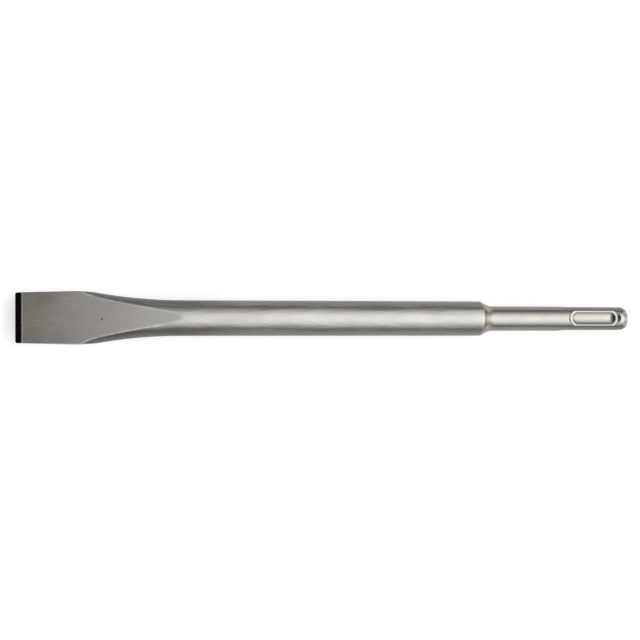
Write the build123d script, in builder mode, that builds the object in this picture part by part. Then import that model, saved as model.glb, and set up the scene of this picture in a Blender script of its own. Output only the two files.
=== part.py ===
from build123d import *
from math import radians, tan
import os

os.makedirs("parts", exist_ok=True)

# Flat chisel for a rotary hammer: one steel bar, forged flat at the blade and turned at the shank.
# The bar lies along X. The cutting edge is at the -X end and the struck end face at the +X end.
# The tool rests on its round body at z = 0, so the bar's axis is one body radius up.
# The blade's flats face up and down, and so do the two locking recesses of the shank.

# Driving dimensions, in millimetres and degrees
# Bar
overall_length = 250.0
body_diameter = 14.0
shank_diameter = 10.0

# Blade, along the bar from the cutting edge
bevel_length = 2.1
belly_distance = 23.0
facet_length = 63.8
flare_length = 66.0

# Blade, through its thickness and across the bar
edge_land = 0.3
bevel_thickness = 3.0
facet_crown = 0.35
edge_width = 19.4
belly_width = 20.4
trim_width_at_root = 17.2
edge_corner_radius = 0.7
belly_radius = 60.0

# Stock that the forging spreads, before its sides are trimmed: distances from the edge, widths,
# and how fast each side draws in there
waist_distance = 46.0
waist_width = 15.4
waist_narrowing = 0.085
kink_distance = 30.6
kink_width = 19.5
kink_narrowing = 0.17
stock_distance = 23.5
stock_width = 25.2
stock_narrowing = 0.5
flare_steps = 8

# Shoulder and neck, from the struck end face
shank_length = 63.4
neck_angle = 26.5
neck_foot_radius = 6.0
shoulder_round = 0.15

# Struck end
end_chamfer_length = 2.0
end_chamfer_depth = 1.05
end_round = 0.3

# Open drive slots on the +Y and -Y sides, from the struck end face
slot_floor_width = 3.1
slot_flank_draft = 15.0
slot_depth = 1.05
slot_full_length = 20.0
slot_runout_length = 9.6

# Closed locking recesses on the +Z and -Z sides, from the struck end face
recess_near_centre = 8.0
recess_far_centre = 21.8
ledge_height = 4.0
ledge_radius = 3.46
pocket_flare = 1.15
trough_radius = 4.2
trough_floor_height = 3.1
trough_rim_round = 0.25

# Derived places
body_radius = body_diameter / 2
shank_radius = shank_diameter / 2
edge_x = -overall_length / 2
end_x = overall_length / 2
root_x = edge_x + flare_length
shoulder_x = end_x - shank_length
neck_foot_x = shoulder_x + (body_radius - shank_radius) / tan(radians(neck_angle))
bar_axis = Axis((0, 0, body_radius), (1, 0, 0))
side_plane = Plane(origin=(0, 0, body_radius), x_dir=(1, 0, 0), z_dir=(0, -1, 0))
plan_plane = Plane(origin=(0, 0, body_radius), x_dir=(1, 0, 0), z_dir=(0, 0, 1))


def cross_plane(x):
    """Plane square to the bar at x, with its local x across the blade and its local y upwards."""
    return Plane(origin=(x, 0, body_radius), x_dir=(0, 1, 0), z_dir=(1, 0, 0))


# Open drive slot: a trapezoid channel whose floor runs out to the surface
slot_floor = shank_radius - slot_depth
slot_mouth = shank_radius + slot_depth
slot_mouth_width = slot_floor_width + 4 * slot_depth * tan(radians(slot_flank_draft))
slot_full_x = end_x - slot_full_length
slot_runout_x = slot_full_x - slot_runout_length
slot_tool_x = end_x + slot_depth

with BuildPart() as slot_cutter:
    with BuildSketch(cross_plane(slot_tool_x)) as slot_section:
        with BuildLine():
            Polyline(
                (slot_floor, -slot_floor_width / 2),
                (slot_mouth, -slot_mouth_width / 2),
                (slot_mouth, slot_mouth_width / 2),
                (slot_floor, slot_floor_width / 2),
                close=True,
            )
        make_face()
    extrude(amount=slot_runout_x - slot_tool_x)
    with BuildSketch(plan_plane) as slot_reach:
        with BuildLine():
            Polyline(
                (slot_tool_x, slot_floor),
                (slot_full_x, slot_floor),
                (slot_runout_x, shank_radius),
                (slot_runout_x, slot_mouth),
                (slot_tool_x, slot_mouth),
                close=True,
            )
        make_face()
    extrude(amount=slot_mouth_width, both=True, mode=Mode.INTERSECT)

# Closed locking recess: a flared pocket down to a level ledge, and a round trough inside the ledge
recess_length = recess_far_centre - recess_near_centre
recess_x = end_x - (recess_far_centre + recess_near_centre) / 2
pocket_rise = shank_radius - ledge_height
trough_axis_z = body_radius + trough_floor_height + trough_radius

with BuildPart() as recess_cutter:
    for rise, widening in ((0, 0), (2 * pocket_rise, 2 * pocket_flare)):
        with BuildSketch(plan_plane.offset(ledge_height + rise)):
            with Locations((recess_x, 0)):
                SlotCenterToCenter(recess_length, 2 * (ledge_radius + widening))
    loft(ruled=True)
    with Locations(Location((recess_x, 0, trough_axis_z), (0, 90, 0))):
        Cylinder(trough_radius, recess_length)
    with Locations(
        (recess_x - recess_length / 2, 0, trough_axis_z),
        (recess_x + recess_length / 2, 0, trough_axis_z),
    ):
        Sphere(trough_radius)

# Chisel: the spread stock is cut to the blade first, then the turned bar joins it
with BuildPart() as chisel:
    # Half outline of the spread stock, seen from above
    with BuildLine(plan_plane) as flare_line:
        Spline(
            (edge_x + stock_distance, stock_width / 2),
            (edge_x + kink_distance, kink_width / 2),
            (edge_x + waist_distance, waist_width / 2),
            (root_x, body_radius),
            tangents=(
                (1, -stock_narrowing),
                (1, -kink_narrowing),
                (1, -waist_narrowing),
                (1, 0),
            ),
        )
    for step in range(flare_steps + 1):
        place = flare_line.line @ (step / flare_steps)
        with BuildSketch(cross_plane(place.X)):
            Ellipse(place.Y, body_radius)
    loft()
    with BuildSketch(cross_plane(edge_x)):
        Ellipse(stock_width / 2, body_radius)
    extrude(amount=stock_distance)

    # Side outline: the slightly crowned flats and the ground bevels, above and below
    with BuildSketch(side_plane) as above_blade:
        with BuildLine():
            bevel = Line((edge_x, edge_land / 2), (edge_x + bevel_length, bevel_thickness / 2))
            flat = SagittaArc(bevel @ 1, (edge_x + facet_length, body_radius), facet_crown)
            way_out = Line(flat @ 1, flat @ 1 + (flat % 1) * (flare_length - facet_length))
            Polyline(
                way_out @ 1,
                (root_x, body_diameter),
                (edge_x - bevel_length, body_diameter),
                (edge_x - bevel_length, edge_land / 2),
                bevel @ 0,
            )
        make_face()
        mirror(about=Plane.XZ)
    extrude(amount=stock_width, both=True, mode=Mode.SUBTRACT)

    # Plan outline: the trimmed sides and the eased corners of the cutting edge
    with BuildSketch(plan_plane) as blade_outline:
        with BuildLine():
            Polyline(
                (edge_x, -edge_width / 2),
                (edge_x, edge_width / 2),
                (edge_x + belly_distance, belly_width / 2),
                (root_x, trim_width_at_root / 2),
                (root_x, -trim_width_at_root / 2),
                (edge_x + belly_distance, -belly_width / 2),
                close=True,
            )
        make_face()
        fillet(
            blade_outline.vertices().group_by(Axis.X)[0],
            radius=edge_corner_radius,
        )
        fillet(
            blade_outline.vertices().group_by(Axis.X)[2],
            radius=belly_radius,
        )
    extrude(amount=body_diameter, both=True, mode=Mode.INTERSECT)

    # Round body, shoulder, neck, shank and struck end
    with BuildSketch(side_plane) as turned_profile:
        with BuildLine():
            turned = FilletPolyline(
                (root_x, body_radius),
                (shoulder_x, body_radius),
                (neck_foot_x, shank_radius),
                (end_x - end_chamfer_length, shank_radius),
                (end_x, shank_radius - end_chamfer_depth),
                (end_x, 0),
                radius=(shoulder_round, neck_foot_radius, end_round, end_round),
            )
            Polyline(turned @ 1, (root_x, 0), turned @ 0)
        make_face()
    revolve(axis=bar_axis)

    # Slots and recesses of the shank, each cut on two opposite sides
    add(slot_cutter.part, mode=Mode.SUBTRACT)
    add(slot_cutter.part.mirror(Plane.XZ), mode=Mode.SUBTRACT)
    add(recess_cutter.part, mode=Mode.SUBTRACT)
    add(recess_cutter.part.mirror(plan_plane), mode=Mode.SUBTRACT)
    ledges = chisel.faces().filter_by(Plane.XY)
    trough_rims = [ledge.inner_wires()[0] for ledge in ledges]
    fillet([edge for rim in trough_rims for edge in rim.edges()], radius=trough_rim_round)

chisel.part.label = "chisel"
export_step(chisel.part, "parts/chisel.step")
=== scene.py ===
"""Looks of a forged flat chisel for a rotary hammer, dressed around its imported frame.

The bar lies along X with its cutting edge at -X, and rests on its round body at z = 0. The classes below hold
their sizes in millimetres and degrees where they don't say otherwise; a mesh is made in metres.
"""

import logging
import math
from collections.abc import Iterable
from dataclasses import dataclass, field
from enum import Enum
from typing import Any

import bpy
from mathutils import Matrix, Vector


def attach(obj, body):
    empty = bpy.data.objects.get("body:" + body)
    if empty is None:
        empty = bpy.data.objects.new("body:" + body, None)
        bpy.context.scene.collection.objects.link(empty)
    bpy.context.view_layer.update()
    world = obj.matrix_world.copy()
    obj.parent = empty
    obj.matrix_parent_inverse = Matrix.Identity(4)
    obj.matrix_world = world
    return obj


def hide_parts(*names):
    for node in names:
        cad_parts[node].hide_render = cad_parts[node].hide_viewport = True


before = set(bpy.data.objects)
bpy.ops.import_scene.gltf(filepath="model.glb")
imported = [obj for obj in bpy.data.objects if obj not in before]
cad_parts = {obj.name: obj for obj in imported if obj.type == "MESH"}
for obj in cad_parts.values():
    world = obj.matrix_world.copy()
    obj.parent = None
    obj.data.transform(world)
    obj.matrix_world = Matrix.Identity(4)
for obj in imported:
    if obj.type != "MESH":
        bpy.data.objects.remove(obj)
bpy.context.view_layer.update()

MM = 0.001
BODY = "root"
NODE = "chisel"
NO_LIMIT = 40.0
TINY = 1e-9
WHITE = (1.0, 1.0, 1.0, 1.0)
EDGE_TINT = (0.9, 0.9, 0.9, 1.0)

Colour = tuple[float, float, float, float]
Triple = tuple[float, float, float]
Pair = tuple[float, float]
Socket = bpy.types.NodeSocket

log = logging.getLogger("chisel")


class Region(Enum):
    """Part of the bar that has a finish of its own."""

    FORGED = "Forged finish"
    TURNED = "Turned finish"
    GROUND = "Ground finish"


class Wiring:
    """Adds nodes to a tree and joins them."""

    def __init__(self, tree: bpy.types.NodeTree) -> None:
        """Keeps the tree.

        Args:
            tree: the geometry, shader or world tree that gets the nodes.
        """
        self.tree = tree

    def put(self, socket: Socket, value: Any) -> None:
        """Links or sets one input.

        Args:
            socket: the input.
            value: a socket or a node to link from, or a plain value.
        """
        if isinstance(value, bpy.types.Node):
            value = next(out for out in value.outputs if out.enabled)
        if isinstance(value, Socket):
            self.tree.links.new(value, socket)
        else:
            socket.default_value = value

    def node(self, kind: str, inputs: dict[str | int, Any] | None = None, **settings: Any) -> bpy.types.Node:
        """Adds one node.

        Args:
            kind: the node's type name.
            inputs: values or links by the input's name or place.
            settings: the node's own properties.

        Returns:
            The node.
        """
        made = self.tree.nodes.new(kind)
        for name, value in settings.items():
            setattr(made, name, value)
        for key, value in (inputs or {}).items():
            self.put(made.inputs[key], value)
        return made

    def math(self, operation: str, *values: Any) -> Socket:
        """Adds a Math node.

        Args:
            operation: the sum it does.
            values: its inputs in order.

        Returns:
            Its result.
        """
        return self.node("ShaderNodeMath", dict(enumerate(values)), operation=operation).outputs[0]

    def vector(self, operation: str, *values: Any) -> Socket:
        """Adds a Vector Math node.

        Args:
            operation: the sum it does.
            values: its inputs in order, with the factor of SCALE second.

        Returns:
            Its result, which is a number for LENGTH.
        """
        made = self.node("ShaderNodeVectorMath", operation=operation)
        places = (0, 3) if operation == "SCALE" else range(len(values))
        for place, value in zip(places, values):
            self.put(made.inputs[place], value)
        return made.outputs[1] if operation == "LENGTH" else made.outputs[0]

    def split(self, value: Any) -> bpy.types.bpy_prop_collection:
        """Outputs X, Y and Z that hold the parts of a vector."""
        return self.node("ShaderNodeSeparateXYZ", {"Vector": value}).outputs

    def join(self, x: Any, y: Any, z: Any) -> Socket:
        """Vector of three parts."""
        return self.node("ShaderNodeCombineXYZ", {"X": x, "Y": y, "Z": z}).outputs[0]

    def ramp(self, value: Any, low: Any, high: Any, start: Any = 0.0, end: Any = 1.0) -> Socket:
        """Adds a smooth ramp.

        Args:
            value: the number that runs along the ramp.
            low: where it starts.
            high: where it ends.
            start: the result at low and before it.
            end: the result at high and after it.

        Returns:
            The ramp's result.
        """
        inputs = {0: value, 1: low, 2: high, 3: start, 4: end}
        return self.node("ShaderNodeMapRange", inputs, interpolation_type="SMOOTHSTEP").outputs[0]

    def blend(self, factor: Any, first: Any, second: Any, mode: str = "MIX") -> Socket:
        """Mixes two colours.

        Args:
            factor: how much of the second, from 0 to 1.
            first: the colour at 0.
            second: the colour at 1.
            mode: how they are mixed.

        Returns:
            The mixed colour.
        """
        made = self.node("ShaderNodeMix", data_type="RGBA", blend_type=mode)
        for place, value in ((0, factor), (6, first), (7, second)):
            self.put(made.inputs[place], value)
        return made.outputs[2]

    def noise(self, where: Any, scale: Any, detail: float) -> Socket:
        """Noise of one value at a place, with its scale in cells to the metre."""
        inputs = {"Vector": where, "Scale": scale, "Detail": detail}
        return self.node("ShaderNodeTexNoise", inputs).outputs[0]

    def place(self) -> Socket:
        """Place on the object, in metres."""
        return self.node("ShaderNodeTexCoord").outputs["Object"]

    def attribute(self, name: str) -> Socket:
        """Number that the mesh carries under a name."""
        return self.node("ShaderNodeAttribute", attribute_name=name).outputs["Fac"]

    def seen(self) -> Socket:
        """Adds a mask of the rays from the camera, from a reflection and through glass.

        Returns:
            The mask: 1 for those rays and 0 for the rest.
        """
        path = self.node("ShaderNodeLightPath").outputs
        direct = self.math("MAXIMUM", path["Is Camera Ray"], path["Is Glossy Ray"])
        return self.math("MAXIMUM", direct, path["Is Transmission Ray"])

    def moved(self, geometry: Any, position: Any) -> Socket:
        """Geometry with its points at new positions."""
        return self.node("GeometryNodeSetPosition", {"Geometry": geometry, "Position": position}).outputs[0]

    def compare(self, operation: str, first: Any, second: Any) -> bpy.types.Node:
        """Comparison of two numbers, with GREATER_THAN or LESS_THAN as its operation."""
        inputs = {"A": first, "B": second}
        return self.node("FunctionNodeCompare", inputs, data_type="FLOAT", operation=operation)


def new_tree(
    name: str, kind: str, inputs: Iterable[tuple[str, str]], outputs: Iterable[tuple[str, str]]
) -> tuple[Wiring, Any, Any]:
    """Makes a node group with named sockets.

    Args:
        name: the group's name.
        kind: GeometryNodeTree or ShaderNodeTree.
        inputs: each input's name and socket kind.
        outputs: each output's name and socket kind.

    Returns:
        The wiring, the sockets that bring the group's inputs and those that take its outputs.
    """
    tree = bpy.data.node_groups.new(name, kind)
    for way, sockets in (("INPUT", inputs), ("OUTPUT", outputs)):
        for title, socket_kind in sockets:
            tree.interface.new_socket(title, in_out=way, socket_type="NodeSocket" + socket_kind)
    given = tree.nodes.new("NodeGroupInput").outputs
    return Wiring(tree), given, tree.nodes.new("NodeGroupOutput").inputs


def add_object(name: str, data: bpy.types.ID) -> bpy.types.Object:
    """Adds an object to the scene.

    Args:
        name: the object's name.
        data: its mesh or camera.

    Returns:
        The object.
    """
    made = bpy.data.objects.new(name, data)
    bpy.context.collection.objects.link(made)
    return made


def hermite(x: float, knots: list[Triple]) -> float:
    """Reads a smooth line through knots.

    Args:
        x: where it is read.
        knots: place, value and slope of each knot, in order.

    Returns:
        The value there, level outside the knots.
    """
    if x <= knots[0][0]:
        return knots[0][1]
    for (x0, y0, m0), (x1, y1, m1) in zip(knots, knots[1:]):
        if x <= x1:
            step = x1 - x0
            t = (x - x0) / step
            return (
                y0 * (1 - 3 * t**2 + 2 * t**3)
                + m0 * step * (t - 2 * t**2 + t**3)
                + y1 * (3 * t**2 - 2 * t**3)
                + m1 * step * (t**3 - t**2)
            )
    return knots[-1][1]


def soft_min(first: float, second: float, easing: float) -> float:
    """Takes the smaller of two numbers, with a smooth passage where they cross.

    Args:
        first: one number.
        second: the other number.
        easing: how far apart they are where the passage begins.

    Returns:
        The smaller number, or up to a sixth of the easing less near the crossing.
    """
    gap = max(easing - abs(first - second), 0.0) / easing
    return min(first, second) - gap**3 * easing / 6


def rounded(points: list[Pair], radii: list[float], steps: int = 8) -> list[Pair]:
    """Rounds the inner corners of an open line.

    Args:
        points: the line's corners.
        radii: a radius for each corner but the first and the last.
        steps: how many parts each arc gets.

    Returns:
        The points of the rounded line.
    """
    line = [points[0]]
    for before, corner, after, radius in zip(points, points[1:], points[2:], radii):
        here = Vector(corner)
        to_before = (Vector(before) - here).normalized()
        to_after = (Vector(after) - here).normalized()
        half = to_before.angle(to_after) / 2
        centre = here + (to_before + to_after).normalized() * radius / math.sin(half)
        start = here + to_before * radius / math.tan(half) - centre
        end = here + to_after * radius / math.tan(half) - centre
        sweep = start.angle(end)
        for step in range(steps + 1):
            t = step / steps
            arm = start * math.sin((1 - t) * sweep) + end * math.sin(t * sweep)
            line.append(tuple(centre + arm / math.sin(sweep)))
    return line + [points[-1]]


@dataclass
class Station:
    """Section of the bar at one place: an oval of steel, cut off by the flats and the trimmed sides."""

    x: float
    spread: float
    radius: float
    trim: float = NO_LIMIT
    flat: float = NO_LIMIT
    easing: float = 0.25


@dataclass
class Blade:
    """Forged blade, with its distances counted from the cutting edge."""

    length: float = 66.0
    edge_land: float = 0.3
    bevel_length: float = 2.1
    bevel_thickness: float = 3.0
    bevel_easing: float = 0.14
    facet_length: float = 63.8
    facet_crown: float = 0.35
    body_radius: float = 7.0
    edge_width: float = 19.4
    belly_distance: float = 23.0
    belly_width: float = 20.4
    belly_easing: float = 0.16
    trim_width_at_root: float = 17.2
    corner_radius: float = 0.7
    border_easing: float = 0.25
    step: float = 0.42
    nose_places: tuple[float, ...] = (
        (0.0, 0.04, 0.12, 0.24, 0.4, 0.55, 0.7, 1.0, 1.3, 1.6)
        + (1.8, 1.95, 2.05, 2.15, 2.25, 2.4, 2.6, 2.85)
    )
    spread_knots: list[Triple] = field(
        default_factory=lambda: [
            (23.5, 12.6, -0.5),
            (30.6, 9.93, -0.17),
            (46.0, 7.86, -0.09),
            (60.0, 7.05, -0.02),
            (66.0, 7.0, 0.0),
        ]
    )

    def flat(self, s: float) -> float:
        """Reads the thickness between the flats, or between the ground bevels.

        Args:
            s: distance from the edge.

        Returns:
            Half the thickness there.
        """
        run = (s - self.bevel_length) / (self.facet_length - self.bevel_length)
        root = self.bevel_thickness / 2
        flats = root + (self.body_radius - root) * run + 4 * self.facet_crown * run * (1 - run)
        bevels = self.edge_land / 2 + (root - self.edge_land / 2) * s / self.bevel_length
        return soft_min(flats, bevels, self.bevel_easing)

    def trim(self, s: float) -> float:
        """Reads the width between the trimmed sides.

        Args:
            s: distance from the edge.

        Returns:
            Half the width there.
        """
        front = self.edge_width / 2 + (self.belly_width - self.edge_width) / 2 * s / self.belly_distance
        run = (s - self.belly_distance) / (self.length - self.belly_distance)
        back = self.belly_width / 2 + (self.trim_width_at_root - self.belly_width) / 2 * run
        half = soft_min(front, back, self.belly_easing)
        reach = max(self.corner_radius - s, 0.0)
        return half - self.corner_radius + math.sqrt(self.corner_radius**2 - reach**2)

    def stations(self, edge_x: float) -> list[Station]:
        """Sections of the blade.

        Args:
            edge_x: where the cutting edge is.

        Returns:
            The sections from the edge to the root.
        """
        nose_end = self.nose_places[-1]
        count = round((self.length - nose_end) / self.step)
        rest = [nose_end + (self.length - nose_end) * i / count for i in range(1, count + 1)]
        return [
            Station(
                x=edge_x + s,
                spread=hermite(s, self.spread_knots),
                radius=self.body_radius,
                trim=self.trim(s),
                flat=self.flat(s),
                easing=min(self.border_easing, self.flat(s)),
            )
            for s in [*self.nose_places, *rest]
        ]


@dataclass
class TurnedBar:
    """Round body, shoulder, neck, shank and chamfered struck end."""

    body_radius: float = 7.0
    shank_radius: float = 5.0
    shank_length: float = 63.4
    neck_angle: float = 26.5
    neck_foot_radius: float = 6.0
    shoulder_round: float = 0.15
    chamfer_length: float = 2.0
    chamfer_depth: float = 1.05
    end_round: float = 0.3
    step: float = 2.0

    def neck_foot(self, end_x: float) -> float:
        """Where the neck's cone would meet the shank, were it not rounded."""
        rise = self.body_radius - self.shank_radius
        return end_x - self.shank_length + rise / math.tan(math.radians(self.neck_angle))

    def stations(self, root_x: float, end_x: float) -> list[Station]:
        """Sections of the turned part.

        Args:
            root_x: where the blade ends.
            end_x: where the struck end face is.

        Returns:
            The sections after root_x, up to the end face.
        """
        corners = [
            (root_x, self.body_radius),
            (end_x - self.shank_length, self.body_radius),
            (self.neck_foot(end_x), self.shank_radius),
            (end_x - self.chamfer_length, self.shank_radius),
            (end_x, self.shank_radius - self.chamfer_depth),
            (end_x, 0.0),
        ]
        radii = [self.shoulder_round, self.neck_foot_radius, self.end_round, self.end_round]
        line = rounded(corners, radii)[:-1]
        sections = []
        for (x0, r0), (x1, r1) in zip(line, line[1:]):
            parts = max(1, round((x1 - x0) / self.step))
            for part in range(1, parts + 1):
                t = part / parts
                radius = r0 + (r1 - r0) * t
                sections.append(Station(x=x0 + (x1 - x0) * t, spread=radius, radius=radius))
        return sections


@dataclass
class ShankCuts:
    """Two open drive slots and two closed locking recesses, each pair on opposite sides of the shank."""

    slot_floor_width: float = 3.1
    slot_flank_draft: float = 15.0
    slot_depth: float = 1.05
    slot_full_length: float = 20.0
    slot_runout_length: float = 9.6
    recess_near_centre: float = 8.0
    recess_far_centre: float = 21.8
    ledge_height: float = 4.0
    ledge_radius: float = 3.46
    pocket_flare: float = 1.15
    pocket_rise: float = 1.6
    trough_radius: float = 4.2
    trough_floor_height: float = 3.1
    trough_rim_round: float = 0.25
    first_ring_radius: float = 0.01
    trough_steps: int = 14
    rim_steps: int = 5
    around: int = 96
    side_nudge: float = 1e-4

    def recess_rings(self) -> list[Station]:
        """Rings of the recess cutter from the trough's floor up: x is the height over the bar's axis.

        Returns:
            The rings, whose spread is each ring's distance from the recess's middle line.
        """
        centre = self.trough_floor_height + self.trough_radius
        lip = math.sqrt(self.trough_radius**2 - (centre - self.ledge_height) ** 2)
        bend = self.trough_rim_round
        rings = []
        for i in range(self.trough_steps + 1):
            r = self.first_ring_radius + (lip - bend) * i / self.trough_steps
            rings.append((r, centre - math.sqrt(self.trough_radius**2 - r**2)))
        slope = math.atan2(lip, centre - self.ledge_height)
        start_r, start_z = rings[-1]
        for i in range(1, self.rim_steps + 1):
            t = i / self.rim_steps
            outward = math.sin(slope * t) + (t - math.sin(slope * t)) * t
            upward = math.sin(math.pi / 2 * t)
            r = start_r + (lip + bend - start_r) * outward
            rings.append((r, start_z + (self.ledge_height - start_z) * upward))
        rings.append((self.ledge_radius, self.ledge_height))
        top = self.ledge_height + self.pocket_rise
        rings.append((self.ledge_radius + self.pocket_flare * self.pocket_rise, top))
        return [Station(x=z, spread=r, radius=r) for r, z in rings]


def rail(name: str, stations: list[Station]) -> bpy.types.Object:
    """Makes an object of loose points that carry the sections' sizes.

    Args:
        name: the object's name.
        stations: the sections.

    Returns:
        The object, linked to the scene.
    """
    mesh = bpy.data.meshes.new(name)
    mesh.from_pydata([(s.x * MM, 0.0, 0.0) for s in stations], [], [])
    values = {
        "reach": [(0.0, s.spread * MM, s.radius * MM) for s in stations],
        "limit": [(0.0, s.trim * MM, s.flat * MM) for s in stations],
        "easing": [s.easing * MM for s in stations],
    }
    for title, numbers in values.items():
        is_vector = isinstance(numbers[0], tuple)
        attribute = mesh.attributes.new(title, "FLOAT_VECTOR" if is_vector else "FLOAT", "POINT")
        flat = [part for number in numbers for part in number] if is_vector else numbers
        attribute.data.foreach_set("vector" if is_vector else "value", flat)
    return add_object(name, mesh)


@dataclass
class Chisel:
    """The whole tool: one bar of steel, forged at its blade, turned and slotted at its shank."""

    name: str = "forged_chisel"
    overall_length: float = 250.0
    points_around: int = 264
    edge_softness: float = 0.15
    border_width: float = 0.3
    flank_lap: float = 0.5
    flank_top: Pair = (0.62, 0.9)
    crease_angle: float = 26.0
    blade: Blade = field(default_factory=Blade)
    bar: TurnedBar = field(default_factory=TurnedBar)
    cuts: ShankCuts = field(default_factory=ShankCuts)

    def sampled(self, wiring: Wiring, rail_points: Any, around: Any) -> dict[str, Any]:
        """Adds a tube with a ring for each point of a rail.

        Args:
            wiring: the tree.
            rail_points: the rail's geometry.
            around: how many points each ring has.

        Returns:
            The tube, each point's cosine and sine round its ring, and the sizes of its ring.
        """
        size = wiring.node("GeometryNodeAttributeDomainSize", {"Geometry": rail_points})
        parts = wiring.math("SUBTRACT", size.outputs["Point Count"], 1.0)
        tube = wiring.node(
            "GeometryNodeMeshCylinder",
            {"Vertices": around, "Side Segments": parts, "Radius": 1.0, "Depth": 1.0},
            fill_type="NGON",
        )
        place = wiring.node("GeometryNodeInputPosition")
        split = wiring.split(place)
        run = wiring.math("ADD", split["Z"], 0.5)
        ring = wiring.math("ROUND", wiring.math("MULTIPLY", run, parts))
        found = {"tube": tube.outputs["Mesh"], "cos": split["X"], "sin": split["Y"]}
        for name in ("place", "reach", "limit", "easing"):
            kind = "FLOAT" if name == "easing" else "FLOAT_VECTOR"
            source = place
            if name != "place":
                source = wiring.node("GeometryNodeInputNamedAttribute", {"Name": name}, data_type=kind)
            inputs = {"Geometry": rail_points, "Value": source, "Index": ring}
            sample = wiring.node("GeometryNodeSampleIndex", inputs, data_type=kind, domain="POINT")
            found[name] = sample.outputs[0]
        return found

    def forged_bar(self, wiring: Wiring, given: Any) -> Socket:
        """Adds the bar, whose ovals the flats and the trimmed sides cut off with eased borders.

        Args:
            wiring: the tree.
            given: the tree's input sockets.

        Returns:
            The bar's geometry.
        """
        ring = self.sampled(wiring, given["Stations"], given["Points around"])
        oval = wiring.vector("MULTIPLY", ring["reach"], wiring.join(0.0, ring["cos"], ring["sin"]))
        size = wiring.vector("ABSOLUTE", oval)
        ease = wiring.join(0.0, ring["easing"], ring["easing"])
        inner = wiring.vector("SUBTRACT", ring["limit"], ease)
        over = wiring.vector("MAXIMUM", wiring.vector("SUBTRACT", size, inner), (0.0, 0.0, 0.0))
        length = wiring.vector("LENGTH", over)
        kept = wiring.math("SMOOTH_MIN", length, ring["easing"], given["Edge softness"])
        share = wiring.math("DIVIDE", kept, wiring.math("MAXIMUM", length, TINY))
        outside = wiring.vector("SCALE", over, share)
        section = wiring.vector("ADD", wiring.vector("MINIMUM", size, inner), outside)
        signed = wiring.vector("MULTIPLY", section, wiring.vector("SIGN", oval))
        centre = wiring.join(wiring.split(ring["place"])["X"], 0.0, given["Axis height"])
        away = wiring.math("ABSOLUTE", wiring.math("SUBTRACT", wiring.split(over)["Z"], ring["easing"]))
        border = wiring.ramp(wiring.math("DIVIDE", away, given["Border width"]), 0.0, 1.0, 1.0, 0.0)
        above = wiring.math("SUBTRACT", wiring.split(size)["Z"], wiring.split(inner)["Z"])
        lap = wiring.math("MULTIPLY", given["Border width"], -self.flank_lap)
        beside_flat = wiring.ramp(above, lap, 0.0, 1.0, 0.0)
        height = wiring.math("DIVIDE", wiring.split(section)["Z"], wiring.split(ring["reach"])["Z"])
        low_down = wiring.ramp(height, *self.flank_top, 1.0, 0.0)
        noted = ring["tube"]
        # border marks the band where the painted highlights go; flank marks the bar's sides, where the scale
        # and painted shade go.
        for name, value in (("border", border), ("flank", wiring.math("MULTIPLY", beside_flat, low_down))):
            noted = wiring.node(
                "GeometryNodeStoreNamedAttribute",
                {"Geometry": noted, "Name": name, "Value": value},
                data_type="FLOAT",
                domain="POINT",
            )
        return wiring.moved(noted, wiring.vector("ADD", signed, centre))

    def recess_cutter(self, wiring: Wiring, given: Any) -> Socket:
        """Adds the solid that a locking recess leaves out, round the bar's axis.

        Args:
            wiring: the tree.
            given: the tree's input sockets.

        Returns:
            The cutter's geometry.
        """
        rings = wiring.node(
            "GeometryNodeObjectInfo", {"Object": given["Recess rings"]}, transform_space="ORIGINAL"
        )
        ring = self.sampled(wiring, rings.outputs["Geometry"], self.cuts.around)
        offset = wiring.split(ring["reach"])["Y"]
        side = wiring.math("SIGN", wiring.math("ADD", ring["cos"], self.cuts.side_nudge))
        half = wiring.math("MULTIPLY", given["Recess length"], 0.5)
        ends = wiring.math("MULTIPLY_ADD", side, half, given["Recess middle"])
        x = wiring.math("MULTIPLY_ADD", ring["cos"], offset, ends)
        y = wiring.math("MULTIPLY", ring["sin"], offset)
        return wiring.moved(ring["tube"], wiring.join(x, y, wiring.split(ring["place"])["X"]))

    def slot_cutter(self, wiring: Wiring, given: Any) -> Socket:
        """Adds the solid that a drive slot leaves out, with a floor that runs out to the surface.

        Args:
            wiring: the tree.
            given: the tree's input sockets.

        Returns:
            The cutter's geometry.
        """
        block = wiring.node("GeometryNodeMeshCube", {"Size": (1.0, 1.0, 1.0), "Vertices X": 3})
        split = wiring.split(wiring.node("GeometryNodeInputPosition"))
        step = wiring.math("MULTIPLY", wiring.math("ADD", split["X"], 0.5), 2.0)
        first = wiring.math("MINIMUM", step, 1.0)
        second = wiring.math("MAXIMUM", wiring.math("SUBTRACT", step, 1.0), 0.0)
        full_x = wiring.math("SUBTRACT", given["End"], given["Slot length"])
        start_x = wiring.math("SUBTRACT", full_x, given["Slot run-out"])
        last = wiring.math("ADD", given["Slot length"], given["Slot depth"])
        x = wiring.math("MULTIPLY_ADD", first, given["Slot run-out"], start_x)
        x = wiring.math("MULTIPLY_ADD", second, last, x)
        sunk = wiring.math("MULTIPLY", first, given["Slot depth"])
        floor = wiring.math("SUBTRACT", given["Shank radius"], sunk)
        mouth = wiring.math("ADD", given["Shank radius"], given["Slot depth"])
        top = wiring.math("ADD", split["Z"], 0.5)
        y = wiring.math("MULTIPLY_ADD", wiring.math("SUBTRACT", mouth, floor), top, floor)
        full_floor = wiring.math("SUBTRACT", given["Shank radius"], given["Slot depth"])
        draft = math.tan(math.radians(self.cuts.slot_flank_draft))
        spread = wiring.math("MULTIPLY", wiring.math("SUBTRACT", y, full_floor), draft)
        half = wiring.math("MULTIPLY_ADD", given["Slot floor width"], 0.5, spread)
        z = wiring.math("MULTIPLY", split["Y"], wiring.math("MULTIPLY", half, -2.0))
        return wiring.moved(block, wiring.join(x, y, z))

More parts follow.
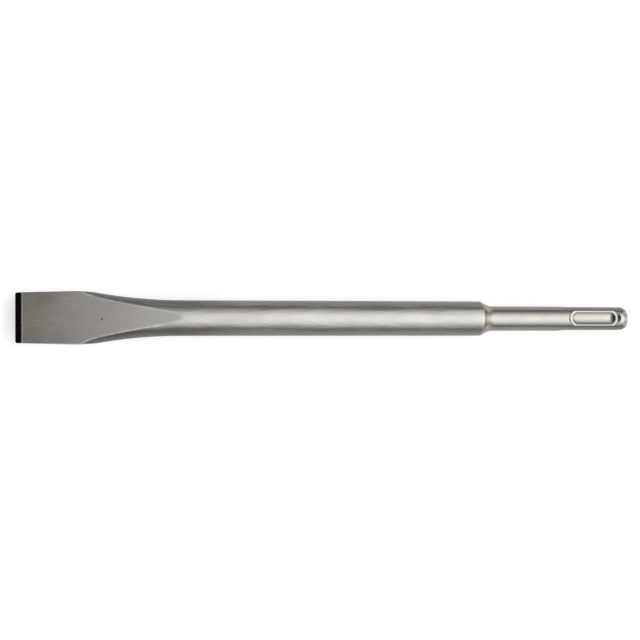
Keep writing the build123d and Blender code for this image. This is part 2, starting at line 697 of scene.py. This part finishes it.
    def both_sides(self, wiring: Wiring, given: Any) -> bpy.types.Node:
        """Adds the cutters on two opposite sides of the shank.

        Args:
            wiring: the tree.
            given: the tree's input sockets.

        Returns:
            The node with the cutters' geometry.
        """
        cutters = wiring.node("GeometryNodeJoinGeometry")
        for cutter in (self.recess_cutter(wiring, given), self.slot_cutter(wiring, given)):
            wiring.put(cutters.inputs[0], cutter)
        sides = wiring.node(
            "GeometryNodeMeshLine",
            {"Count": 2, "Start Location": wiring.join(0.0, 0.0, given["Axis height"]), "Offset": (0.0,) * 3},
            mode="OFFSET",
        )
        half_turn = wiring.math("MULTIPLY", wiring.node("GeometryNodeInputIndex"), math.pi)
        turn = wiring.node("FunctionNodeEulerToRotation", {"Euler": wiring.join(half_turn, 0.0, 0.0)})
        pairs = wiring.node(
            "GeometryNodeInstanceOnPoints", {"Points": sides, "Instance": cutters, "Rotation": turn}
        )
        return wiring.node("GeometryNodeRealizeInstances", {"Geometry": pairs})

    def form_tree(self) -> bpy.types.NodeTree:
        """Builds the tree that forms the chisel.

        Returns:
            The tree: the bar, less each cutter on two opposite sides, with a finish on each region.
        """
        numbers = (
            "Axis height",
            "Edge softness",
            "Border width",
            "Shank radius",
            "End",
            "Slot length",
            "Slot run-out",
            "Slot depth",
            "Slot floor width",
            "Recess length",
            "Recess middle",
            "Bevel end",
            "Shoulder",
        )
        inputs = [("Stations", "Geometry"), ("Points around", "Int"), ("Recess rings", "Object")]
        inputs += [(name, "Float") for name in numbers]
        inputs += [(region.value, "Material") for region in Region]
        outputs = [("Geometry", "Geometry")]
        wiring, given, result = new_tree("chisel_form", "GeometryNodeTree", inputs, outputs)
        cut = wiring.node(
            "GeometryNodeMeshBoolean",
            {"Mesh 1": self.forged_bar(wiring, given), "Mesh 2": self.both_sides(wiring, given)},
            operation="DIFFERENCE",
            solver="MANIFOLD",
        )
        bend = wiring.node("GeometryNodeInputMeshEdgeAngle").outputs["Unsigned Angle"]
        crease = wiring.compare("GREATER_THAN", bend, math.radians(self.crease_angle))
        smooth = wiring.node("GeometryNodeSetShadeSmooth", {"Geometry": cut.outputs["Mesh"]}, domain="FACE")
        shaded = wiring.node(
            "GeometryNodeSetShadeSmooth",
            {"Geometry": smooth, "Selection": crease, "Shade Smooth": False},
            domain="EDGE",
        )
        done = wiring.node("GeometryNodeRealizeInstances", {"Geometry": shaded})
        forged = {"Geometry": done, "Material": given[Region.FORGED.value]}
        done = wiring.node("GeometryNodeSetMaterial", forged)
        along = wiring.split(wiring.node("GeometryNodeInputPosition"))["X"]
        for region, operation, bound in (
            (Region.TURNED, "GREATER_THAN", "Shoulder"),
            (Region.GROUND, "LESS_THAN", "Bevel end"),
        ):
            there = wiring.compare(operation, along, given[bound])
            inputs = {"Geometry": done, "Selection": there, "Material": given[region.value]}
            done = wiring.node("GeometryNodeSetMaterial", inputs)
        wiring.put(result["Geometry"], done)
        return wiring.tree

    def build(self, finishes: dict[Region, bpy.types.Material]) -> bpy.types.Object:
        """Builds and dresses the chisel.

        Args:
            finishes: the material of each region.

        Returns:
            The finished piece, a plain mesh.
        """
        edge_x, end_x = -self.overall_length / 2, self.overall_length / 2
        root_x = edge_x + self.blade.length
        stations = self.blade.stations(edge_x) + self.bar.stations(root_x, end_x)
        source = rail("chisel_stations", stations)
        rings = rail("recess_rings", self.cuts.recess_rings())
        tree = self.form_tree()
        cuts = self.cuts
        values = {
            "Points around": self.points_around,
            "Recess rings": rings,
            "Axis height": self.bar.body_radius * MM,
            "Edge softness": self.edge_softness * MM,
            "Border width": self.border_width * MM,
            "Shank radius": self.bar.shank_radius * MM,
            "End": end_x * MM,
            "Slot length": cuts.slot_full_length * MM,
            "Slot run-out": cuts.slot_runout_length * MM,
            "Slot depth": cuts.slot_depth * MM,
            "Slot floor width": cuts.slot_floor_width * MM,
            "Recess length": (cuts.recess_far_centre - cuts.recess_near_centre) * MM,
            "Recess middle": (end_x - (cuts.recess_far_centre + cuts.recess_near_centre) / 2) * MM,
            "Bevel end": (edge_x + self.blade.bevel_length) * MM,
            "Shoulder": (end_x - self.bar.shank_length) * MM,
            **{region.value: finishes[region] for region in Region},
        }
        modifier = source.modifiers.new("form", "NODES")
        modifier.node_group = tree
        for item in tree.interface.items_tree:
            if item.name in values and item.in_out == "INPUT":
                modifier[item.identifier] = values[item.name]
        depsgraph = bpy.context.evaluated_depsgraph_get()
        mesh = bpy.data.meshes.new_from_object(
            source.evaluated_get(depsgraph), preserve_all_data_layers=True, depsgraph=depsgraph
        )
        for helper in (source, rings):
            bpy.data.objects.remove(helper)
        mesh.name = self.name
        piece = add_object(self.name, mesh)
        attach(piece, BODY)
        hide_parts(NODE)
        log.info("%s: %d faces, %d stations", piece.name, len(mesh.polygons), len(stations))
        return piece


@dataclass
class Effects:
    """Shader node groups that the finishes share, each built once.

    A range is the two values of a pattern between which its mask changes, and so are the scratches' width
    and patches. The scales of noise are in cells to the metre. A scratch run is a turn in radians and a scale
    along it, which is smaller for longer scratches.
    """

    patch_range: Pair = (0.36, 0.64)
    scratch_runs: tuple[Pair, ...] = ((0.7, 0.3), (-0.5, 0.4), (1.35, 0.25))
    scratch_squeeze: float = 2.4
    scratch_width: Pair = (0.004, 0.016)
    scratch_patches: Pair = (0.53, 0.66)
    scratch_strength: float = 0.45
    pit_range: Pair = (0.015, 0.035)
    pit_strength: float = 0.7
    # Wear pattern that breaks up the painted highlights along the edges.
    wear_sheen_scale: float = 700.0
    wear_sheen_range: Pair = (0.35, 0.65)
    wear_sheen_levels: Pair = (0.1, 0.62)
    ragged_scale: float = 450.0

    def __post_init__(self) -> None:
        """Builds the groups."""
        self.grain = self._grain()
        self.marks = self._marks()
        self.spot = self._spot()
        self.stretch = self._stretch()

    def _grain(self) -> bpy.types.NodeTree:
        """Patches of two tones with a fine blasted grain.

        Returns:
            The group. Its sizes are in metres.
        """
        numbers = (
            "Patch size",
            "Patch stretch",
            "Grain size",
            "Roughness",
            "Roughness drift",
            "Fleck",
            "Undulation",
        )
        wiring, given, result = new_tree(
            "steel_grain",
            "ShaderNodeTree",
            [("Tone", "Color"), ("Other tone", "Color")] + [(name, "Float") for name in numbers],
            [("Color", "Color"), ("Roughness", "Float"), ("Height", "Float")],
        )
        where = wiring.place()
        squeeze = wiring.join(wiring.math("DIVIDE", 1.0, given["Patch stretch"]), 1.0, 1.0)
        patch_scale = wiring.math("DIVIDE", 1.0, given["Patch size"])
        patches = wiring.noise(wiring.vector("MULTIPLY", where, squeeze), patch_scale, 3.0)
        grains = wiring.noise(where, wiring.math("DIVIDE", 1.0, given["Grain size"]), 2.0)
        patch = wiring.ramp(patches, *self.patch_range)
        colour = wiring.blend(patch, given["Tone"], given["Other tone"])
        lift = wiring.math("MULTIPLY_ADD", wiring.math("SUBTRACT", grains, 0.5), given["Fleck"], 1.0)
        grey = wiring.node("ShaderNodeCombineColor", {0: lift, 1: lift, 2: lift})
        wiring.put(result["Color"], wiring.blend(1.0, colour, grey, "MULTIPLY"))
        drift = wiring.math("SUBTRACT", patches, 0.5)
        rough = wiring.math("MULTIPLY_ADD", drift, given["Roughness drift"], given["Roughness"])
        wiring.put(result["Roughness"], rough)
        waves = wiring.math("MULTIPLY", drift, given["Undulation"])
        wiring.put(result["Height"], wiring.math("ADD", grains, waves))
        return wiring.tree

    def _marks(self) -> bpy.types.NodeTree:
        """Faint scratches, small dark pits and an uneven wear pattern that breaks up the painted highlights
        along the edges.

        Returns:
            The group. Its sizes are in metres.
        """
        wiring, given, result = new_tree(
            "steel_marks",
            "ShaderNodeTree",
            [("Scratch spacing", "Float"), ("Pit spacing", "Float")],
            [("Scratch", "Float"), ("Pit", "Float"), ("Wear and sheen", "Float")],
        )
        where = wiring.place()
        density = wiring.math("DIVIDE", 1.0, given["Scratch spacing"])
        scratch: Any = 0.0
        for turn, stretch in self.scratch_runs:
            scale = (stretch, self.scratch_squeeze, 1.0)
            inputs = {"Vector": where, "Rotation": (0.0, 0.0, turn), "Scale": scale}
            lines = wiring.noise(wiring.node("ShaderNodeMapping", inputs), density, 0.0)
            off = wiring.math("ABSOLUTE", wiring.math("SUBTRACT", lines, 0.5))
            scratch = wiring.math("MAXIMUM", scratch, wiring.ramp(off, *self.scratch_width, 1.0, 0.0))
        patches = wiring.noise(where, density, 2.0)
        faint = wiring.ramp(patches, *self.scratch_patches, 0.0, self.scratch_strength)
        wiring.put(result["Scratch"], wiring.math("MULTIPLY", scratch, faint))
        cell_scale = wiring.math("DIVIDE", 1.0, given["Pit spacing"])
        cells = wiring.node("ShaderNodeTexVoronoi", {"Vector": where, "Scale": cell_scale})
        pit = wiring.ramp(cells.outputs["Distance"], *self.pit_range, self.pit_strength, 0.0)
        wiring.put(result["Pit"], pit)
        fine = wiring.noise(where, self.wear_sheen_scale, 1.0)
        wiring.put(result["Wear and sheen"], wiring.ramp(fine, *self.wear_sheen_range, *self.wear_sheen_levels))
        return wiring.tree

    def _spot(self) -> bpy.types.NodeTree:
        """A soft round mask about one place.

        Returns:
            The group: 1 inside the radius and 0 beyond radius plus blur, all in metres.
        """
        wiring, given, result = new_tree(
            "steel_spot",
            "ShaderNodeTree",
            [("Place", "Vector"), ("Radius", "Float"), ("Blur", "Float"), ("Ragged", "Float")],
            [("Mask", "Float")],
        )
        where = wiring.place()
        away = wiring.vector("LENGTH", wiring.vector("SUBTRACT", where, given["Place"]))
        noise = wiring.noise(where, self.ragged_scale, 2.0)
        ragged = wiring.math("MULTIPLY", wiring.math("SUBTRACT", noise, 0.5), given["Ragged"])
        far = wiring.math("ADD", given["Radius"], given["Blur"])
        mask = wiring.ramp(wiring.math("ADD", away, ragged), given["Radius"], far, 1.0, 0.0)
        wiring.put(result["Mask"], mask)
        return wiring.tree

    def _stretch(self) -> bpy.types.NodeTree:
        """A soft mask along the bar.

        Returns:
            The group: 0 at From, 1 at To and level beyond them, both in metres along X, in either order.
        """
        wiring, given, result = new_tree(
            "bar_stretch", "ShaderNodeTree", [("From", "Float"), ("To", "Float")], [("Mask", "Float")]
        )
        along = wiring.split(wiring.place())["X"]
        wiring.put(result["Mask"], wiring.ramp(along, given["From"], given["To"]))
        return wiring.tree

    def use(self, wiring: Wiring, group: bpy.types.NodeTree, values: dict[str, Any]) -> Any:
        """Places a group in a material.

        Args:
            wiring: the material's tree.
            group: the group.
            values: its inputs by name.

        Returns:
            The outputs of the group's node.
        """
        return wiring.node("ShaderNodeGroup", values, node_tree=group).outputs

    def along(self, wiring: Wiring, span: Pair) -> Socket:
        """Mask that grows along the bar between the two places of a span, in millimetres."""
        ends = {"From": span[0] * MM, "To": span[1] * MM}
        return self.use(wiring, self.stretch, ends)["Mask"]


@dataclass(frozen=True)
class Spot:
    """Stain, pit or chip on the blade's upper flat."""

    place: Triple
    radius: float
    blur: float
    ragged: float
    tone: Colour
    strength: float

    def mask(self, wiring: Wiring, effects: Effects) -> Socket:
        """Adds the spot's mask.

        Args:
            wiring: the material's tree.
            effects: the shared groups.

        Returns:
            The mask, which is as high as the spot is strong.
        """
        values = {
            "Place": tuple(part * MM for part in self.place),
            "Radius": self.radius * MM,
            "Blur": self.blur * MM,
            "Ragged": self.ragged * MM,
        }
        return wiring.math("MULTIPLY", effects.use(wiring, effects.spot, values)["Mask"], self.strength)


OLIVE_STAIN = (0.36, 0.355, 0.3, 1.0)
GREY_STAIN = (0.42, 0.41, 0.385, 1.0)
DARK_PIT = (0.08, 0.075, 0.07, 1.0)
PALE_CHIP = (0.78, 0.77, 0.75, 1.0)
SPOTS = (
    Spot((-115.0, 8.0, 10.2), 0.5, 5.5, 5.0, OLIVE_STAIN, 0.55),
    Spot((-118.0, -6.5, 9.6), 0.5, 5.0, 4.0, OLIVE_STAIN, 0.45),
    Spot((-108.5, -7.0, 10.5), 0.2, 4.0, 4.0, OLIVE_STAIN, 0.4),
    Spot((-103.0, 1.5, 11.0), 0.3, 4.5, 5.0, GREY_STAIN, 0.4),
    Spot((-92.5, -0.7, 11.6), 0.22, 0.32, 0.2, DARK_PIT, 0.9),
    Spot((-111.2, -4.2, 10.2), 0.05, 0.28, 0.3, PALE_CHIP, 0.7),
    Spot((-110.6, -3.6, 10.3), 0.05, 0.24, 0.3, PALE_CHIP, 0.6),
    Spot((-101.4, -4.9, 11.1), 0.05, 0.24, 0.2, PALE_CHIP, 0.5),
)


@dataclass(frozen=True)
class Steel:
    """Metal with a fine grain, to which a region's finish gives its values and adds its own marks."""

    name: str
    tone: Colour
    other_tone: Colour
    patch_size: float
    grain_size: float
    grain_depth: float
    roughness: float
    roughness_drift: float
    fleck: float
    patch_stretch: float = 2.5
    waves: float = 2.0
    bump: float = 0.4

    def undulation(self, wiring: Wiring, effects: Effects) -> Any:
        """Height of the surface's waves against its grain, here the same all over."""
        return self.waves

    def dressed(self, wiring: Wiring, effects: Effects, grain: Any) -> tuple[Socket, Socket]:
        """Colour and height of the surface, here those of the grain alone."""
        return grain["Color"], grain["Height"]

    def material(self, effects: Effects) -> bpy.types.Material:
        """Builds the material.

        Args:
            effects: the shared groups.

        Returns:
            The material.
        """
        material = bpy.data.materials.new(self.name)
        material.use_nodes = True
        wiring = Wiring(material.node_tree)
        shader = material.node_tree.nodes["Principled BSDF"].inputs
        shader["Metallic"].default_value = 1.0
        shader["Specular Tint"].default_value = EDGE_TINT
        values = {
            "Tone": self.tone,
            "Other tone": self.other_tone,
            "Patch size": self.patch_size * MM,
            "Patch stretch": self.patch_stretch,
            "Grain size": self.grain_size * MM,
            "Roughness": self.roughness,
            "Roughness drift": self.roughness_drift,
            "Fleck": self.fleck,
            "Undulation": self.undulation(wiring, effects),
        }
        grain = effects.use(wiring, effects.grain, values)
        colour, height = self.dressed(wiring, effects, grain)
        wiring.put(shader["Base Color"], colour)
        wiring.put(shader["Roughness"], grain["Roughness"])
        relief = {"Strength": self.bump, "Distance": self.grain_depth * MM, "Height": height}
        wiring.put(shader["Normal"], wiring.node("ShaderNodeBump", relief))
        return material


@dataclass(frozen=True)
class ForgedSteel(Steel):
    """Blasted steel of the blade and the body, with darker scale left on the flanks of the forging, carried
    on along the flanks of the body as painted shade.

    A fade is the two places along the bar between which a mark comes up to its full strength.
    """

    name: str = "forged_steel"
    tone: Colour = (0.5, 0.486, 0.47, 1.0)
    other_tone: Colour = (0.475, 0.466, 0.442, 1.0)
    # Dark scale on the forging's flanks, also used as painted shade on the body's flanks.
    scale_and_shade_tone: Colour = (0.11, 0.105, 0.087, 1.0)
    # Painted highlight along the borders of the flats.
    border_highlight_tone: Colour = (0.82, 0.81, 0.78, 1.0)
    pit_tone: Colour = (0.09, 0.085, 0.08, 1.0)
    scratch_tone: Colour = (0.7, 0.69, 0.67, 1.0)
    # Painted shade that darkens the blade towards the cutting edge.
    edge_painted_shade: Colour = (0.85, 0.84, 0.79, 1.0)
    blade_tint: Colour = (1.0, 0.965, 0.97, 1.0)
    patch_size: float = 5.0
    patch_stretch: float = 4.0
    grain_size: float = 0.45
    grain_depth: float = 0.02
    roughness: float = 0.33
    roughness_drift: float = 0.16
    fleck: float = 0.3
    bump: float = 0.5
    waves: float = 40.0
    blade_waves: float = 10.0
    waves_fade: Pair = (-58.0, -72.0)
    tint_fade: Pair = (-76.0, -88.0)
    edge_shade_fade: Pair = (-98.0, -124.0)
    scale_and_shade_fade: Pair = (-30.0, -66.0)
    scale_and_shade_left: float = 0.75
    scratch_spacing: float = 7.0
    pit_spacing: float = 9.0
    pit_depth: float = 2.0
    blade_fade: Pair = (-59.0, -66.0)
    border_highlight_fade: Pair = (-62.0, -74.0)
    # Painted highlight on the shoulder's rounded rim.
    shoulder_highlight_fade: Pair = (61.1, 61.4)
    shoulder_highlight_strength: float = 0.22
    # Painted highlight on the rounded edge above the ground bevels.
    bevel_highlight_fade: Pair = (-122.0, -122.4)
    bevel_highlight_strength: float = 0.45

    def undulation(self, wiring: Wiring, effects: Effects) -> Any:
        """Height of the surface's waves against its grain, which is lower on the blade."""
        change = effects.along(wiring, self.waves_fade)
        return wiring.math("MULTIPLY_ADD", change, self.blade_waves - self.waves, self.waves)

    def dressed(self, wiring: Wiring, effects: Effects, grain: Any) -> tuple[Socket, Socket]:
        """Adds the blade's tint, painted shade towards the cutting edge, stains and spots, the scale with
        painted shade on the flanks, the scratches and pits, and painted highlights along the edges.

        Args:
            wiring: the material's tree.
            effects: the shared groups.
            grain: the outputs of the grain.

        Returns:
            The surface's colour and height.
        """
        spacings = {"Scratch spacing": self.scratch_spacing * MM, "Pit spacing": self.pit_spacing * MM}
        marks = effects.use(wiring, effects.marks, spacings)
        colour = grain["Color"]
        # The blade's tint, then painted shade that darkens the blade towards the cutting edge.
        for span, tint in ((self.tint_fade, self.blade_tint), (self.edge_shade_fade, self.edge_painted_shade)):
            colour = wiring.blend(effects.along(wiring, span), colour, tint, "MULTIPLY")
        for spot in SPOTS:
            colour = wiring.blend(spot.mask(wiring, effects), colour, spot.tone)
        # Scale on the flanks of the forging, and painted shade of the dark rims on the flanks of the body.
        flank = wiring.attribute("flank")
        towards_blade = effects.along(wiring, self.scale_and_shade_fade)
        kept = wiring.math("MULTIPLY_ADD", towards_blade, 1 - self.scale_and_shade_left, self.scale_and_shade_left)
        colour = wiring.blend(wiring.math("MULTIPLY", flank, kept), colour, self.scale_and_shade_tone)
        blade = effects.along(wiring, self.blade_fade)
        open_steel = wiring.math("MULTIPLY", blade, wiring.math("SUBTRACT", 1.0, flank))
        scratched = wiring.math("MULTIPLY", marks["Scratch"], open_steel)
        colour = wiring.blend(scratched, colour, self.scratch_tone)
        colour = wiring.blend(wiring.math("MULTIPLY", marks["Pit"], blade), colour, self.pit_tone)
        # Painted highlight along the borders of the flats, broken up by a wear pattern.
        border = wiring.math("MULTIPLY", wiring.attribute("border"), effects.along(wiring, self.border_highlight_fade))
        painted_highlight = wiring.math("MULTIPLY", border, marks["Wear and sheen"])
        # Painted highlights on the shoulder's rim and on the edge above the ground bevels.
        for span, strength in (
            (self.shoulder_highlight_fade, self.shoulder_highlight_strength),
            (self.bevel_highlight_fade, self.bevel_highlight_strength),
        ):
            line = wiring.math("MULTIPLY", effects.along(wiring, span), strength)
            painted_highlight = wiring.math("MAXIMUM", painted_highlight, line)
        colour = wiring.blend(painted_highlight, colour, self.border_highlight_tone)
        sunk = wiring.math("MULTIPLY", marks["Pit"], self.pit_depth)
        return colour, wiring.math("SUBTRACT", grain["Height"], sunk)


@dataclass(frozen=True)
class TurnedSteel(Steel):
    """Finely turned steel of the neck and the shank, with the straw tint that hardening leaves on the neck,
    and painted shade on the flanks.

    A fade is the two places along the bar between which a mark comes up to its full strength.
    """

    name: str = "turned_steel"
    tone: Colour = (0.44, 0.426, 0.4, 1.0)
    other_tone: Colour = (0.423, 0.412, 0.389, 1.0)
    straw: Colour = (0.42, 0.385, 0.28, 1.0)
    deep_straw: Colour = (0.25, 0.225, 0.165, 1.0)
    # Painted shade on the flanks of the shank.
    flank_shade_tone: Colour = (0.2, 0.19, 0.15, 1.0)
    patch_size: float = 2.5
    grain_size: float = 0.35
    grain_depth: float = 0.01
    roughness: float = 0.3
    roughness_drift: float = 0.1
    fleck: float = 0.15
    straw_fade: Pair = (66.0, 62.4)
    straw_strength: float = 0.85
    deep_fade: Pair = (63.8, 62.1)
    deep_strength: float = 0.75
    flank_shade_fade: Pair = (92.0, 104.0)
    flank_shade_left: float = 0.8

    def dressed(self, wiring: Wiring, effects: Effects, grain: Any) -> tuple[Socket, Socket]:
        """Adds the painted shade on the flanks and the straw tints.

        Args:
            wiring: the material's tree.
            effects: the shared groups.
            grain: the outputs of the grain.

        Returns:
            The surface's colour and height.
        """
        # Painted shade on the shank's flanks, stronger towards the struck end.
        slots = effects.along(wiring, self.flank_shade_fade)
        painted_shade_share = wiring.math("MULTIPLY_ADD", slots, 1 - self.flank_shade_left, self.flank_shade_left)
        flank = wiring.math("MULTIPLY", wiring.attribute("flank"), painted_shade_share)
        colour = wiring.blend(flank, grain["Color"], self.flank_shade_tone)
        for span, strength, tint in (
            (self.straw_fade, self.straw_strength, self.straw),
            (self.deep_fade, self.deep_strength, self.deep_straw),
        ):
            share = wiring.math("MULTIPLY", effects.along(wiring, span), strength)
            colour = wiring.blend(share, colour, tint)
        return colour, grain["Height"]


@dataclass(frozen=True)
class GroundEdge(Steel):
    """Ground bevels of the cutting edge, whose near-black tone is painted dark reflection."""

    name: str = "ground_edge"
    # Near-black tone: painted dark reflection on the ground steel.
    tone: Colour = (0.01, 0.009, 0.0085, 1.0)
    other_tone: Colour = (0.015, 0.0137, 0.0128, 1.0)
    patch_size: float = 1.5
    grain_size: float = 0.3
    grain_depth: float = 0.008
    roughness: float = 0.4
    roughness_drift: float = 0.15
    fleck: float = 0.3


@dataclass
class Studio:
    """Pale floor, a wide soft light overhead and a long-lens camera.

    The floor's size and the camera's clip distances are in metres. Directions of light are angles from
    straight overhead, counted towards the shank, or across the bar towards +Y. A light step is the two angles
    between which the light grows, and by how much. The horizon's angles are above the floor, and the side
    range is a part of a direction of length 1.
    """

    floor_size: float = 60.0
    floor_tone: float = 0.7
    floor_roughness: float = 0.9
    floor_lift: float = 0.6
    light_steps: tuple[Triple, ...] = ((-17.0, 5.0, 0.5), (-3.0, 4.0, 0.45), (2.0, 19.0, 1.07))
    corner_light: float = 1.0
    corner_along: Pair = (-50.0, -32.0)
    corner_across: Pair = (34.0, 54.0)
    light_core: float = 6.0
    light_reach: float = 82.0
    light_shift: float = -4.5
    low_light: float = 0.8
    low_light_range: Pair = (35.0, 75.0)
    lowest_rise: float = 0.001
    horizon: Pair = (0.8, 2.0)
    dim_side: float = 0.03
    pale_side: float = 0.14
    side_range: Pair = (-0.35, 0.35)
    surround_tone: Triple = (1.0, 0.96, 0.87)
    camera_distance: float = 675.7
    camera_lean: float = 13.38
    camera_offset: float = 2.87
    camera_roll: float = -0.604
    aim: Triple = (-5.16, -0.68, 7.0)
    focal_pixels: float = 1694.0
    frame_pixels: float = 640.0
    sensor_width: float = 36.0
    clip: Pair = (0.01, 200.0)

    def lay_floor(self) -> None:
        """Lays the floor, which looks white and keeps the tool's shadow."""
        half = self.floor_size / 2
        corners = [(-half, -half, 0), (half, -half, 0), (half, half, 0), (-half, half, 0)]
        mesh = bpy.data.meshes.new("studio_floor")
        mesh.from_pydata(corners, [], [(0, 1, 2, 3)])
        floor = add_object("studio_floor", mesh)
        material = bpy.data.materials.new("studio_floor")
        material.use_nodes = True
        wiring = Wiring(material.node_tree)
        shader = material.node_tree.nodes["Principled BSDF"].inputs
        shader["Base Color"].default_value = (self.floor_tone,) * 3 + (1.0,)
        shader["Roughness"].default_value = self.floor_roughness
        shader["Specular IOR Level"].default_value = 0.0
        shader["Emission Color"].default_value = WHITE
        wiring.put(shader["Emission Strength"], wiring.math("MULTIPLY", wiring.seen(), self.floor_lift))
        mesh.materials.append(material)
        log.info("floor laid")

    def light(self) -> None:
        """Lights the scene: a soft light overhead that brightens towards the shank, in dim surroundings."""
        world = bpy.data.worlds.new("studio")
        bpy.context.scene.world = world
        world.use_nodes = True
        wiring = Wiring(world.node_tree)
        split = wiring.split(wiring.node("ShaderNodeTexCoord").outputs["Generated"])
        rise = wiring.math("MAXIMUM", split["Z"], self.lowest_rise)
        along = wiring.math("DEGREES", wiring.math("ARCTAN2", split["X"], rise))
        across = wiring.math("DEGREES", wiring.math("ARCTAN2", split["Y"], rise))
        overhead: Any = 0.0
        for low, high, strength in self.light_steps:
            overhead = wiring.math("ADD", overhead, wiring.ramp(along, low, high, 0.0, strength))
        lower = wiring.ramp(along, *self.low_light_range, 1.0, self.low_light)
        overhead = wiring.math("MULTIPLY", overhead, lower)
        off_centre = wiring.math("ABSOLUTE", wiring.math("SUBTRACT", across, self.light_shift))
        falloff = wiring.ramp(off_centre, self.light_core, self.light_reach, 1.0, 0.0)
        surround = wiring.ramp(split["X"], *self.side_range, self.dim_side, self.pale_side)
        aside = wiring.ramp(wiring.math("ABSOLUTE", across), *self.corner_across)
        far_end = wiring.ramp(along, *self.corner_along, self.corner_light, 0.0)
        lamps = wiring.math("MULTIPLY_ADD", overhead, falloff, wiring.math("MULTIPLY", aside, far_end))
        glow = wiring.vector("SCALE", (1.0, 1.0, 1.0), lamps)
        dusk = wiring.vector("SCALE", self.surround_tone, surround)
        low, high = (math.sin(math.radians(angle)) for angle in self.horizon)
        pale = wiring.math("MULTIPLY", wiring.seen(), wiring.ramp(split["Z"], low, high, 1.0, 0.0))
        background = world.node_tree.nodes["Background"]
        light = wiring.blend(pale, wiring.vector("ADD", glow, dusk), WHITE)
        wiring.put(background.inputs["Color"], light)
        log.info("light set")

    def camera(self) -> None:
        """Sets the camera as the photograph's."""
        angles = (self.camera_lean, self.camera_offset, self.camera_roll)
        lean, offset, roll = (math.radians(angle) for angle in angles)
        back = Vector(
            (-math.sin(lean) * math.cos(offset), -math.sin(offset), math.cos(lean) * math.cos(offset))
        )
        right = Vector((math.cos(lean), 0.0, math.sin(lean)))
        up = back.cross(right)
        turned_right = right * math.cos(roll) + up * math.sin(roll)
        turned_up = up * math.cos(roll) - right * math.sin(roll)
        data = bpy.data.cameras.new("camera")
        data.sensor_width = self.sensor_width
        data.lens = self.focal_pixels / self.frame_pixels * self.sensor_width
        data.clip_start, data.clip_end = self.clip
        camera = add_object("camera", data)
        place = (Vector(self.aim) + back * self.camera_distance) * MM
        axes = Matrix((turned_right, turned_up, back)).transposed().to_4x4()
        camera.matrix_world = Matrix.Translation(place) @ axes
        bpy.context.scene.camera = camera
        bpy.context.scene.view_settings.view_transform = "Standard"
        log.info("camera set %.0f mm away", self.camera_distance)


def main() -> None:
    """Builds the chisel and the studio."""
    logging.basicConfig(level=logging.INFO, format="%(name)s: %(message)s")
    effects = Effects()
    finishes = {
        Region.FORGED: ForgedSteel().material(effects),
        Region.TURNED: TurnedSteel().material(effects),
        Region.GROUND: GroundEdge().material(effects),
    }
    Chisel().build(finishes)
    studio = Studio()
    studio.lay_floor()
    studio.light()
    studio.camera()


if __name__ == "__main__":
    main()
